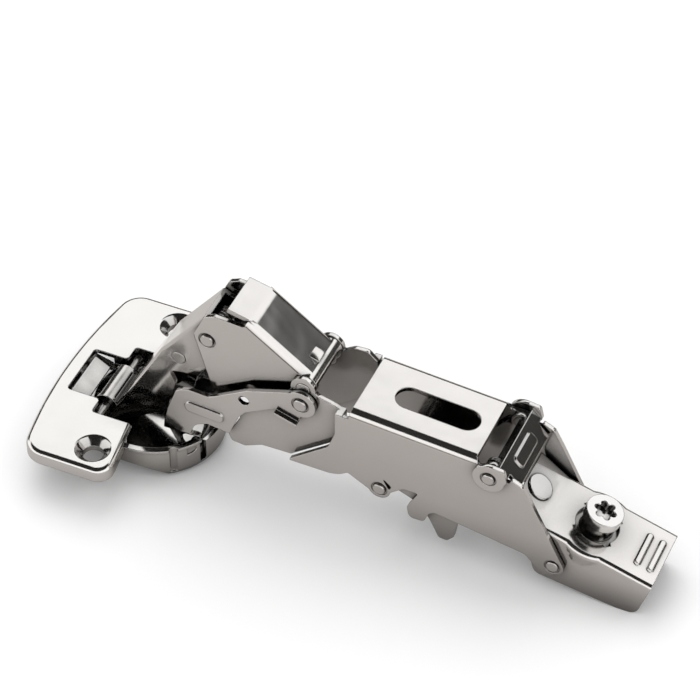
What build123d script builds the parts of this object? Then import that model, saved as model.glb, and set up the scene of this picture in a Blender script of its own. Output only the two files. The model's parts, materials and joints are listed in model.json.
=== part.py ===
"""Wide-angle concealed cup hinge, clip-on type, standing half open.

Frame: millimetres, origin at the cup's centre on the flange's top face, +X towards the rear end of the
arm, +Y across the hinge, +Z up out of the cup.  Everything folded or stamped is drawn from the side, in
x and z, and lies in layers either side of the middle plane y = 0.
"""

import os
from math import cos, hypot, radians, sin

from build123d import *

os.makedirs("parts", exist_ok=True)

# ---------------------------------------------------------------- driving dimensions, mm

SHEET = 1.2             # steel sheet of the arm, the levers and the carrier
LAYER_GAP = 0.2         # free play between two plates that slide past each other
RUN_FIT = 0.06          # radial clearance of a pin in the piece that turns on it
SEAT_FIT = 0.02         # radial clearance of a pin in the piece that holds it
HEAD = 0.5              # how far a rivet head stands proud
SEAT_DEPTH = 0.25       # shallow round recess about a rivet head
SEAT_RING = 0.5         # how much wider than the rivet that recess is

# half widths of the layers, from the middle outwards, to each plate's outer face
INNER_HALF = 6.1
COVER_HALF = INNER_HALF + LAYER_GAP + SHEET
PANEL_HALF = COVER_HALF + LAYER_GAP + SHEET
OUTER_HALF = PANEL_HALF + LAYER_GAP + SHEET
ARM_HALF = OUTER_HALF + 0.7
CARRIER_HALF = ARM_HALF - SHEET - LAYER_GAP
LEG_HALF = COVER_HALF

# pivots, as (x, z)
OUTER_PIVOT = (44.7, 23.2)      # outer levers on the arm's front panels
COVER_PIVOT = (44.9, 27.5)      # cover lever on the arm
KNUCKLE = (18.7, 32.4)          # cover lever to inner lever
SPINDLE = (9.9, 21.8)           # spring spindle in the inner lever
CUP_PIVOT = (-11.6, -3.6)       # inner lever in the cup
LEG_PIN = (13.9, -5.3)          # pins that hold the outer levers' legs in the cup
LEG_EYE = (12.9, -5.4)          # wide eye of each leg, round its pin
REAR_PIVOT = (111.6, -4.2)      # carrier in the arm's tail
RELEASE_PIVOT = (94.7, 20.6)    # release lever on the arm
CATCH_PIN = (66.0, 3.7)         # cross pin at the arm's lower edge

PIN_R = 1.5                     # cup pin
LEG_PIN_R = 1.2
LEG_EYE_PLAY = 1.55             # free play of a leg's eye all round its pin
RIVET_R = 1.8                   # pivots of the levers
CUP_PIN_HALF = 12.4             # the cup's pins reach this far out from the middle plane
LEG_PIN_END = 10.9
PIN_SEAT_DEEP = 0.1             # a blind seat is deeper than its pin by this
PIN_SINK = 0.1                  # the cup's pins stay this far inside its round wall
EYE_SINK = 0.3                  # and the legs' eyes this far
SPINDLE_R = 1.9
CATCH_PIN_R = 1.65
SMALL_RIVET_R = 1.6

# cup and flange
CUP_R = 17.5
CUP_DEPTH = 13.0
CUP_WALL = 1.2
RIM_DROP = 3.0                  # open rim of the cup below the flange's top face
CUP_EDGE_R = 2.4                # rounded lower edge of the cup
HOLLOW_EDGE_R = 6.4             # rounded lower edge of its hollow
COLLAR = 0.5                    # step and draw radius round the cup where it meets the flange
FACET_SUM = 26.1                # the slanted facets lie where |y| - z equals this
FLANGE_SKIRT = 3.8
FLANGE_EDGE_R = 1.3             # rounded outer edge of the flange
SCREW_HALF = 24.0               # two screw holes, 48 apart
FLANGE_END = 7.0                # the flange reaches this far past the middle of a screw hole
FLANGE_HALF = SCREW_HALF + FLANGE_END
FLANGE_LEFT = -25.9
FLANGE_RIGHT = 1.6
FLANGE_BOW = 3.7                # rise of the bowed edge
WAIST_X = -0.95                 # right edge of the flange next to the window
WINDOW_HALF = 12.6              # wide part of the window
WINDOW_STEP_X = -12.3
SLOT_HALF = 7.8                 # narrow part of the window
SLOT_LEFT = -21.7
GROOVE_AT = (11.5, 14.2)        # grooves in the cup's wall, one each side
GROOVE_R = 1.3
PIT_LEFT = 7.0                  # left end of the two pits in the cup's floor
SCREW_X = -6.0
SCREW_HOLE_R = 2.65
SCREW_SINK_R = 4.6

# arm
ARM_TOP = (58.2, 27.0)          # front end of the flat top
ARM_SLOPE = 4.4                 # degrees, falling to the rear
ARM_TOP_LEN = 32.7
ARM_BEND_R = 2.0
ARM_SLOT_LEN = 22.0
ARM_SLOT_R = 3.5
ARM_SLOT_MID = 18.2             # middle of the oblong slot behind the front end of the flat top

# rear carrier
CARRIER_TOP = (108.0, 6.4)      # front end of its flat top
CARRIER_SLOPE = 16.6
CARRIER_TOP_LEN = 29.8
CARRIER_BEND_R = 1.2
SCREW_ALONG = 11.3              # depth screw, along the flat top from its front end
DEPTH_HEAD_R = 4.8
DEPTH_HEAD_H = 2.8
DEPTH_NECK_R = 3.2
DEPTH_STAND = 3.2               # underside of the head above the flat top
BUSH_R = 4.3
SIDE_ALONG = 4.1                # side screw, along the front tongue from its upper end
SIDE_DISC_R = 3.5
SIDE_SHANK_R = 1.6
SCREW_CLEAR = 0.1               # free play under a screw's head

# cuts run out to these planes, clear of the part
AHEAD = -40.0
BEHIND = 160.0
BELOW = -40.0
ABOVE = 60.0


def side_plane(y):
    """The upright plane at y, drawn in x and z; extruding by a positive amount runs towards -y."""
    return Plane.XZ.offset(-y)


def corners(*points):
    """A closed outline through (x, z, corner radius) points, filled."""
    with BuildLine() as rim:
        FilletPolyline(*[(x, z) for x, z, r in points], radius=[r for x, z, r in points], close=True)
    make_face(rim.edges())


def disc(centre, radius, mode=Mode.ADD):
    """A filled circle at (x, z)."""
    with Locations(centre):
        Circle(radius, mode=mode)


def along_slope(start, slope, run, rise=0.0):
    """The point at run along a line that falls to the rear by slope degrees, and rise above it."""
    a = radians(slope)
    return (start[0] + run * cos(a) + rise * sin(a), start[1] - run * sin(a) + rise * cos(a))


def inset(points, distance):
    """The line through points moved sideways by distance, to the right of its run, with mitred corners."""
    moved = []
    for i, (x, z) in enumerate(points):
        before = points[max(i - 1, 0)]
        after = points[min(i + 1, len(points) - 1)]
        runs = [(x - before[0], z - before[1]), (after[0] - x, after[1] - z)]
        normals = [(dz / hypot(dx, dz), -dx / hypot(dx, dz)) for dx, dz in runs if hypot(dx, dz) > 0]
        nx = sum(n[0] for n in normals)
        nz = sum(n[1] for n in normals)
        reach = distance * len(normals) / (nx * nx + nz * nz)
        moved.append((x + nx * reach, z + nz * reach))
    return moved


def folds(builder, start, end, half):
    """The two long outer edges of a folded web, over the line from start to end at y = +-half."""
    dx, dz = end[0] - start[0], end[1] - start[1]
    length = hypot(dx, dz)

    def on_fold(edge):
        middle = edge.center()
        off_line = abs((middle.X - start[0]) * dz - (middle.Z - start[1]) * dx) / length
        along = ((middle.X - start[0]) * dx + (middle.Z - start[1]) * dz) / length
        return off_line < 0.05 and 0 < along < length and abs(abs(middle.Y) - half) < 0.01

    return builder.edges().filter_by(on_fold)


def face_plane(start, end, along, rise):
    """The plane of the sloping face from start to end, lifted by rise and centred at along."""
    dx, dz = end[0] - start[0], end[1] - start[1]
    run = Vector(dx, 0, dz).normalized()
    normal = Vector(-dz, 0, dx).normalized()
    return Plane(origin=Vector(start[0], 0, start[1]) + run * along + normal * rise, x_dir=run, z_dir=normal)


def ring_seats(centre, radius, half):
    """Shallow round recesses in the two outer faces, at y = +-half, about a rivet at (x, z)."""
    for y in (half + 1, -half + SEAT_DEPTH):
        with BuildSketch(side_plane(y)) as seat:
            disc(centre, radius + SEAT_RING)
        extrude(seat.sketch, amount=1 + SEAT_DEPTH, mode=Mode.SUBTRACT)


def cross_hole(centre, radius, half=20.0):
    """A round hole right through in y, at (x, z)."""
    with BuildSketch(side_plane(half)) as hole:
        disc(centre, radius)
    extrude(hole.sketch, amount=2 * half, mode=Mode.SUBTRACT)


def finish(builder, name):
    """Label a piece and write its STEP file."""
    builder.part.label = name
    export_step(builder.part, f"parts/{name}.step")


# ---------------------------------------------------------------- flange, pressed from sheet

def flange_face():
    """Outline of the flange seen from above: one bowed edge, two wings, rounded corners."""
    with BuildLine() as rim:
        ThreePointArc((FLANGE_LEFT + FLANGE_BOW, -FLANGE_HALF), (FLANGE_LEFT, 0),
                      (FLANGE_LEFT + FLANGE_BOW, FLANGE_HALF))
        Polyline((FLANGE_LEFT + FLANGE_BOW, FLANGE_HALF), (FLANGE_RIGHT, FLANGE_HALF),
                 (WAIST_X, WINDOW_HALF), (WAIST_X, -WINDOW_HALF), (FLANGE_RIGHT, -FLANGE_HALF),
                 (FLANGE_LEFT + FLANGE_BOW, -FLANGE_HALF))
    make_face(rim.edges())


with BuildPart() as flange:
    with BuildSketch(Plane.XY):
        flange_face()
        outer_corners = vertices().sort_by(Axis.X)[:2]
        fillet(outer_corners, 6.0)
        fillet(vertices().sort_by(Axis.X)[-2:], 4.0)
    extrude(amount=-FLANGE_SKIRT)
    fillet(faces().sort_by(Axis.Z)[-1].edges(), FLANGE_EDGE_R)
    with BuildSketch(Plane.XY.offset(-SHEET)):
        flange_face()
        fillet(vertices().sort_by(Axis.X)[:2], 6.0)
        fillet(vertices().sort_by(Axis.X)[-2:], 4.0)
        offset(amount=-SHEET)
    extrude(amount=-FLANGE_SKIRT, mode=Mode.SUBTRACT)
    # sunk seats of the two screw holes
    with Locations((SCREW_X, SCREW_HALF, -SHEET / 2), (SCREW_X, -SCREW_HALF, -SHEET / 2)):
        Cylinder(SCREW_SINK_R + 0.5, FLANGE_SKIRT - 0.4 - SHEET / 2,
                 align=(Align.CENTER, Align.CENTER, Align.MAX))

# ---------------------------------------------------------------- cup with its flange, one drawn piece

def cup_turning(radius, bottom, top, edge_radius):
    """A turned plug with a rounded lower edge."""
    with BuildSketch(Plane.XZ) as half_section:
        with BuildLine() as rim:
            FilletPolyline((0, bottom), (radius, bottom), (radius, top), radius=edge_radius)
            Polyline((radius, top), (0, top), (0, bottom))
        make_face(rim.edges())
    revolve(half_section.sketch, axis=Axis.Z)


def cut_facets(facet_sum):
    """Slanted cuts along the lower edge on both sides, where |y| - z equals facet_sum."""
    for side in (1, -1):
        with BuildSketch(Plane.YZ.offset(-CUP_R - 1)) as wedge:
            Polygon((side * (facet_sum - CUP_DEPTH - 1), -CUP_DEPTH - 1), (side * 30, -CUP_DEPTH - 1),
                    (side * 30, 30 - facet_sum), align=None)
        extrude(wedge.sketch, amount=2 * CUP_R + 2, mode=Mode.SUBTRACT)


with BuildPart() as cup_hollow:
    cup_turning(CUP_R - CUP_WALL, -CUP_DEPTH + CUP_WALL, -SHEET, HOLLOW_EDGE_R)
    # two pits to the right, where the outer levers' legs dip in
    with BuildSketch(Plane.XY.offset(-SHEET)):
        Circle(CUP_R - CUP_WALL - 0.05)
        with Locations((PIT_LEFT, 0)):
            Rectangle(CUP_R, 2 * (OUTER_HALF + 0.6), align=(Align.MIN, Align.CENTER), mode=Mode.INTERSECT)
        Rectangle(2 * CUP_R, 2 * (LEG_HALF - SHEET - 0.7), mode=Mode.SUBTRACT)
    extrude(amount=SHEET + CUP_WALL - CUP_DEPTH)

with BuildPart() as cup_shell:
    cup_turning(CUP_R, -CUP_DEPTH, -RIM_DROP, CUP_EDGE_R)
    # collar round the rim, with a draw radius below it
    with BuildSketch(Plane.XZ) as collar_section:
        with BuildLine() as rim:
            Polyline((CUP_R, -FLANGE_SKIRT - COLLAR), (CUP_R - CUP_WALL / 2, -FLANGE_SKIRT - COLLAR),
                     (CUP_R - CUP_WALL / 2, -RIM_DROP), (CUP_R + COLLAR, -RIM_DROP),
                     (CUP_R + COLLAR, -FLANGE_SKIRT))
            halfway = COLLAR * (1 - cos(radians(45)))
            ThreePointArc((CUP_R + COLLAR, -FLANGE_SKIRT), (CUP_R + halfway, -FLANGE_SKIRT - halfway),
                          (CUP_R, -FLANGE_SKIRT - COLLAR))
        make_face(rim.edges())
    revolve(collar_section.sketch, axis=Axis.Z)
    # under the flange the wall rises to meet it
    with BuildSketch(Plane.XY.offset(-RIM_DROP - 0.5)):
        Circle(CUP_R + COLLAR)
        with Locations((WAIST_X, 0)):
            Rectangle(3 * CUP_R, 3 * CUP_R, align=(Align.MAX, Align.CENTER), mode=Mode.INTERSECT)
    extrude(amount=RIM_DROP + 0.5 - SHEET / 2)
    cut_facets(FACET_SUM)
    # flange on top, then the hollow, then the window: wide over the cup, narrow to the left
    add(flange.part)
    add(cup_hollow.part, mode=Mode.SUBTRACT)
    with BuildSketch(Plane.XY.offset(-RIM_DROP)):
        with Locations((WINDOW_STEP_X, 0)):
            Rectangle(30, 2 * WINDOW_HALF, align=(Align.MIN, Align.CENTER))
        with Locations((SLOT_LEFT, 0)):
            Rectangle(30, 2 * SLOT_HALF, align=(Align.MIN, Align.CENTER))
        fillet(vertices().group_by(Axis.X)[0], 1.0)
        fillet(vertices().filter_by_position(Axis.X, WINDOW_STEP_X - 0.1, WINDOW_STEP_X + 0.1), 1.0)
    extrude(amount=RIM_DROP + 1, mode=Mode.SUBTRACT)
    # sloped apron from the window's left edge down to the cup's wall
    with BuildSketch(side_plane(SLOT_HALF)):
        corners((SLOT_LEFT - 1.0, 0, 0), (SLOT_LEFT, 0, 0.5), (SLOT_LEFT + 0.7, -1.4, 0.4),
                (-CUP_R + 1.1, -2.7, 0), (-CUP_R + 1.1, -3.9, 0), (SLOT_LEFT, -2.6, 0.6),
                (SLOT_LEFT - 1.0, -SHEET, 0))
    extrude(amount=2 * SLOT_HALF)
    # slots for the outer levers' legs, and the lowered wall between them
    for side in (1, -1):
        with BuildSketch(Plane.XY.offset(-RIM_DROP + 1)):
            with Locations((CUP_R + 2, side * (LEG_HALF - SHEET / 2))):
                Rectangle(9, SHEET + 0.7, align=(Align.MAX, Align.CENTER))
        extrude(amount=-RIM_DROP - 5.8, mode=Mode.SUBTRACT)
    with BuildSketch(Plane.XY.offset(-RIM_DROP + 1)):
        with Locations((CUP_R + 2, 0)):
            Rectangle(9, 2 * (LEG_HALF - SHEET), align=(Align.MAX, Align.CENTER))
    extrude(amount=-3.0, mode=Mode.SUBTRACT)
    # screw holes
    with Locations((SCREW_X, SCREW_HALF, 0), (SCREW_X, -SCREW_HALF, 0)):
        CounterSinkHole(radius=SCREW_HOLE_R, counter_sink_radius=SCREW_SINK_R, counter_sink_angle=90)
    sink_edges = edges().filter_by(GeomType.CIRCLE).filter_by(lambda e: abs(e.radius - SCREW_SINK_R) < 0.01)
    fillet(sink_edges.group_by(Axis.Z)[-1], 0.5)
    # grooves down the whole wall beside the legs' slots
    for side in (1, -1):
        with BuildSketch(Plane.XY.offset(-RIM_DROP + 1)):
            with Locations((GROOVE_AT[0], side * GROOVE_AT[1])):
                Circle(GROOVE_R)
        extrude(amount=-(CUP_DEPTH - RIM_DROP - CUP_EDGE_R) - 1.5, mode=Mode.SUBTRACT)
    # blind seats of the cup's pins
    cross_hole(CUP_PIVOT, PIN_R + SEAT_FIT, CUP_PIN_HALF + 2 * PIN_SEAT_DEEP)
    cross_hole(LEG_PIN, LEG_PIN_R + SEAT_FIT, LEG_PIN_END + PIN_SEAT_DEEP)
finish(cup_shell, "cup_shell")


def slant_ends(centre, radius):
    """Cut a pin's two ends straight across, from edge to edge just inside the cup's round wall."""
    ends = [(x, ((CUP_R - PIN_SINK) ** 2 - x ** 2) ** 0.5) for x in (centre[0] - radius, centre[0] + radius)]
    with BuildSketch(Plane.XY.offset(-CUP_DEPTH)) as between:
        Polygon(*ends, *[(x, -y) for x, y in reversed(ends)], align=None)
    extrude(between.sketch, amount=2 * CUP_DEPTH, mode=Mode.INTERSECT)


with BuildPart() as cup_hinge_pin:
    with BuildSketch(side_plane(CUP_PIN_HALF)):
        disc(CUP_PIVOT, PIN_R)
    extrude(amount=2 * CUP_PIN_HALF)
    slant_ends(CUP_PIVOT, PIN_R + SEAT_FIT)
finish(cup_hinge_pin, "cup_hinge_pin")

with BuildPart() as cup_lever_pins:
    with BuildSketch(side_plane(LEG_PIN_END)):
        disc(LEG_PIN, LEG_PIN_R)
    extrude(amount=LEG_PIN_END - LEG_HALF + SHEET)
    slant_ends(LEG_PIN, LEG_PIN_R + SEAT_FIT)
    mirror(about=Plane.XZ)
finish(cup_lever_pins, "cup_lever_pins")

# ---------------------------------------------------------------- inner lever, a folded channel

INNER_WEB = [(-10.4, -5.2), (-4.0, 6.5), (4.8, 22.4), (17.0, 38.0)]

with BuildPart() as inner_lever:
    with BuildSketch(side_plane(INNER_HALF)):
        corners((-12.6, -7.0, 1.5), (-13.0, -3.0, 1.0), (-10.4, -5.2, 0), (-4.0, 6.5, 0), (4.8, 22.4, 0),
                (17.0, 38.0, 0), (23.0, 34.5, 2.5), (22.8, 30.0, 3), (15.2, 17.6, 1.5), (10.1, 17.0, 0.5),
                (7.0, 16.2, 1.0), (8.7, 12.4, 1.0), (6.4, 4.0, 3), (3.8, 0.4, 2), (-8.6, -7.9, 2))
        disc(CUP_PIVOT, PIN_R + 1.8)
        disc(KNUCKLE, RIVET_R + 2.6)
    extrude(amount=2 * INNER_HALF)
    web_runs = zip(INNER_WEB[:-1], INNER_WEB[1:])
    fillet([edge for run in web_runs for edge in folds(inner_lever, *run, INNER_HALF)], 0.8)
    with BuildSketch(side_plane(INNER_HALF - SHEET)):
        hollow = inset(INNER_WEB, SHEET)
        Polygon(*hollow, (26, 45), (40, 20), (20, BELOW), (AHEAD, BELOW), (AHEAD, -1), (hollow[0][0], -1),
                align=None)
    extrude(amount=2 * (INNER_HALF - SHEET), mode=Mode.SUBTRACT)
    cross_hole(CUP_PIVOT, PIN_R + RUN_FIT)
    cross_hole(KNUCKLE, RIVET_R + SEAT_FIT)
    cross_hole(SPINDLE, SPINDLE_R + SEAT_FIT)
finish(inner_lever, "inner_lever")

with BuildPart() as spring_spindle:
    with BuildSketch(side_plane(INNER_HALF + 0.1)):
        disc(SPINDLE, SPINDLE_R)
    extrude(amount=2 * INNER_HALF + 0.2)
    chamfer(edges(), 0.15)
finish(spring_spindle, "spring_spindle")

# ---------------------------------------------------------------- cover lever, a folded channel with a nose

COVER_WEB = [(29.6, 42.4), (30.4, 42.2), (47.2, 29.6)]
COVER_BEND_R = 2.0
COVER_NOSE = (24.0, 43.8)

with BuildPart() as cover_lever:
    with BuildSketch(side_plane(COVER_HALF)):
        corners((19.6, 17.0, 0.8), (15.1, 33.2, 1.5), (18.2, 39.9, 1.5), (20.8, 41.1, 1.0), (28.8, 40.5, 0.5),
                (29.6, 42.4, 0), (30.4, 42.2, 0), (47.2, 29.6, 0), (46.7, 23.0, 1.5), (41.0, 21.6, 3),
                (30.0, 17.8, 3), (23.0, 14.2, 1.5))
        disc(COVER_PIVOT, RIVET_R + 1.4)
    extrude(amount=2 * COVER_HALF)
    fillet(folds(cover_lever, COVER_WEB[1], COVER_WEB[2], COVER_HALF), COVER_BEND_R)
    with BuildSketch(side_plane(COVER_HALF - SHEET)):
        hollow = inset(COVER_WEB, SHEET)
        Polygon((AHEAD, BELOW), (AHEAD, ABOVE), (COVER_WEB[0][0], ABOVE), *hollow,
                (BEHIND, hollow[-1][1] - 20), (BEHIND, BELOW), align=None)
    extrude(amount=2 * (COVER_HALF - SHEET), mode=Mode.SUBTRACT)
    # flat nose in front of the folded part, apart from the walls
    with BuildSketch(side_plane(COVER_HALF - SHEET)):
        nose = [COVER_NOSE, COVER_WEB[1]]
        Polygon(*nose, *reversed(inset(nose, SHEET)), align=None)
        Polygon(COVER_WEB[0], COVER_WEB[1], *reversed(inset(COVER_WEB, SHEET)[:2]), align=None)
    extrude(amount=2 * (COVER_HALF - SHEET))
    cross_hole(KNUCKLE, RIVET_R + RUN_FIT)
    cross_hole(COVER_PIVOT, RIVET_R + RUN_FIT)
    ring_seats(KNUCKLE, RIVET_R, COVER_HALF)
finish(cover_lever, "cover_lever")

with BuildPart() as knuckle_rivet:
    with BuildSketch(side_plane(COVER_HALF + HEAD)):
        disc(KNUCKLE, RIVET_R)
    extrude(amount=2 * (COVER_HALF + HEAD))
    chamfer(edges().group_by(Axis.Y)[0] + edges().group_by(Axis.Y)[-1], 0.2)
finish(knuckle_rivet, "knuckle_rivet")

# closing spring: a close-wound coil round the rivet with one leg on the spindle, one on the cover
SPRING_WIRE = 1.1
SPRING_TURNS = 6
SPRING_IN_R = RIVET_R + 0.15

with BuildPart() as closing_spring:
    spring_half = SPRING_TURNS * SPRING_WIRE / 2
    with BuildSketch(side_plane(spring_half)):
        disc(KNUCKLE, SPRING_IN_R + SPRING_WIRE)
        disc(KNUCKLE, SPRING_IN_R, mode=Mode.SUBTRACT)
    extrude(amount=2 * spring_half)
    for i in range(1, SPRING_TURNS):
        with BuildSketch(side_plane(spring_half - i * SPRING_WIRE + 0.12)):
            disc(KNUCKLE, SPRING_IN_R + SPRING_WIRE + 1)
            disc(KNUCKLE, SPRING_IN_R + SPRING_WIRE - 0.3, mode=Mode.SUBTRACT)
        extrude(amount=0.24, mode=Mode.SUBTRACT)
    with BuildSketch(side_plane(spring_half)):
        Polygon((KNUCKLE[0] - SPRING_IN_R - SPRING_WIRE + 0.1, KNUCKLE[1]),
                (KNUCKLE[0] - SPRING_IN_R, KNUCKLE[1]),
                (SPINDLE[0] + SPINDLE_R + 1.3, SPINDLE[1] - 1.0),
                (SPINDLE[0] + SPINDLE_R + 0.25, SPINDLE[1] - 0.6), align=None)
    extrude(amount=SPRING_WIRE)
    with BuildSketch(side_plane(-spring_half + SPRING_WIRE)):
        Polygon((KNUCKLE[0], KNUCKLE[1] + SPRING_IN_R + SPRING_WIRE - 0.05),
                (KNUCKLE[0], KNUCKLE[1] + SPRING_IN_R + 0.05),
                (28.5, 36.0), (28.5, 37.1), align=None)
    extrude(amount=SPRING_WIRE)
finish(closing_spring, "closing_spring")

# ---------------------------------------------------------------- outer levers, one each side

LEG_EYE_R = LEG_PIN_R + LEG_EYE_PLAY
LEG_FLAT_X = (CUP_R ** 2 - LEG_HALF ** 2) ** 0.5 - EYE_SINK     # the eyes are cut flat here
JOGGLE_TOP = 0.8                # the leg starts to step inwards here


def outer_lever_solid():
    """The near outer lever: a stamped plate whose leg steps inwards and dips into the cup."""
    with BuildSketch(side_plane(0)) as side_view:
        corners((10.8, 14.4, 0.6), (12.5, 15.6, 1), (14.6, 16.2, 3), (19.8, 15.9, 2), (21.9, 17.0, 2),
                (30.3, 22.2, 3), (41.9, 26.3, 2), (46.5, 26.0, 1), (44.2, 17.2, 0.6), (38.0, 19.3, 0.8),
                (29.8, 14.6, 2), (28.0, 12.3, 3), (25.2, 5.4, 0.7), (19.2, 6.3, 2), (15.8, 4.6, 3),
                (14.3, 1.0, 3), (14.3, -4.0, 0), (8.9, -6.5, 1), (6.8, -2.1, 2), (7.2, 2.5, 3),
                (8.4, 7.5, 4), (10.2, 12.6, 1))
        disc(OUTER_PIVOT, RIVET_R + 2.2)
        disc(LEG_EYE, LEG_EYE_R + 1.4)
        disc(LEG_EYE, LEG_EYE_R, mode=Mode.SUBTRACT)
        with Locations((LEG_FLAT_X, LEG_EYE[1])):
            Rectangle(LEG_EYE_R, 4 * LEG_EYE_R, align=(Align.MIN, Align.CENTER), mode=Mode.SUBTRACT)
        disc(OUTER_PIVOT, RIVET_R + RUN_FIT, mode=Mode.SUBTRACT)
        disc((29.5, 18.6), 1.45, mode=Mode.SUBTRACT)
    extrude(side_view.sketch, amount=OUTER_HALF + 5)
    step = OUTER_HALF - LEG_HALF
    with BuildSketch(Plane.YZ) as section:
        with BuildLine() as band:
            FilletPolyline((-OUTER_HALF, 50), (-OUTER_HALF, JOGGLE_TOP - 0.5),
                           (-LEG_HALF, JOGGLE_TOP - 0.5 - step), (-LEG_HALF, -20),
                           (-LEG_HALF + SHEET, -20), (-LEG_HALF + SHEET, JOGGLE_TOP - step),
                           (-OUTER_HALF + SHEET, JOGGLE_TOP), (-OUTER_HALF + SHEET, 50),
                           radius=[0, 1.2, 0.6, 0, 0, 1.2, 0.6, 0], close=True)
        make_face(band.edges())
    extrude(section.sketch, amount=80, mode=Mode.INTERSECT)
    # raised capsule, pressed outwards
    with BuildSketch(side_plane(-OUTER_HALF)) as capsule:
        with Locations((18.6, 10.4)):
            SlotCenterToCenter(7.4, 3.4, rotation=-4)
    extrude(capsule.sketch, amount=0.5, taper=25)
    # lip bent outwards along the lower edge, below the pivot
    with BuildSketch(side_plane(-OUTER_HALF + SHEET / 2)) as lip:
        Polygon((38.2, 19.3), (44.3, 17.3), (44.0, 16.5), (38.1, 18.5), align=None)
    extrude(lip.sketch, amount=SHEET / 2 + 1.3)
    ring_seats(OUTER_PIVOT, RIVET_R, OUTER_HALF)


with BuildPart() as outer_lever_near:
    outer_lever_solid()
finish(outer_lever_near, "outer_lever_near")

with BuildPart() as outer_lever_far:
    add(mirror(outer_lever_near.part, about=Plane.XZ))
finish(outer_lever_far, "outer_lever_far")

# ---------------------------------------------------------------- arm, one folded and joggled channel

ARM_REAR = along_slope(ARM_TOP, ARM_SLOPE, ARM_TOP_LEN)
JOGGLE_EDGE = [(41.4, 3.7), (52.3, 12.5), (54.2, 17.9), (54.2, 24.6)]

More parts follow.
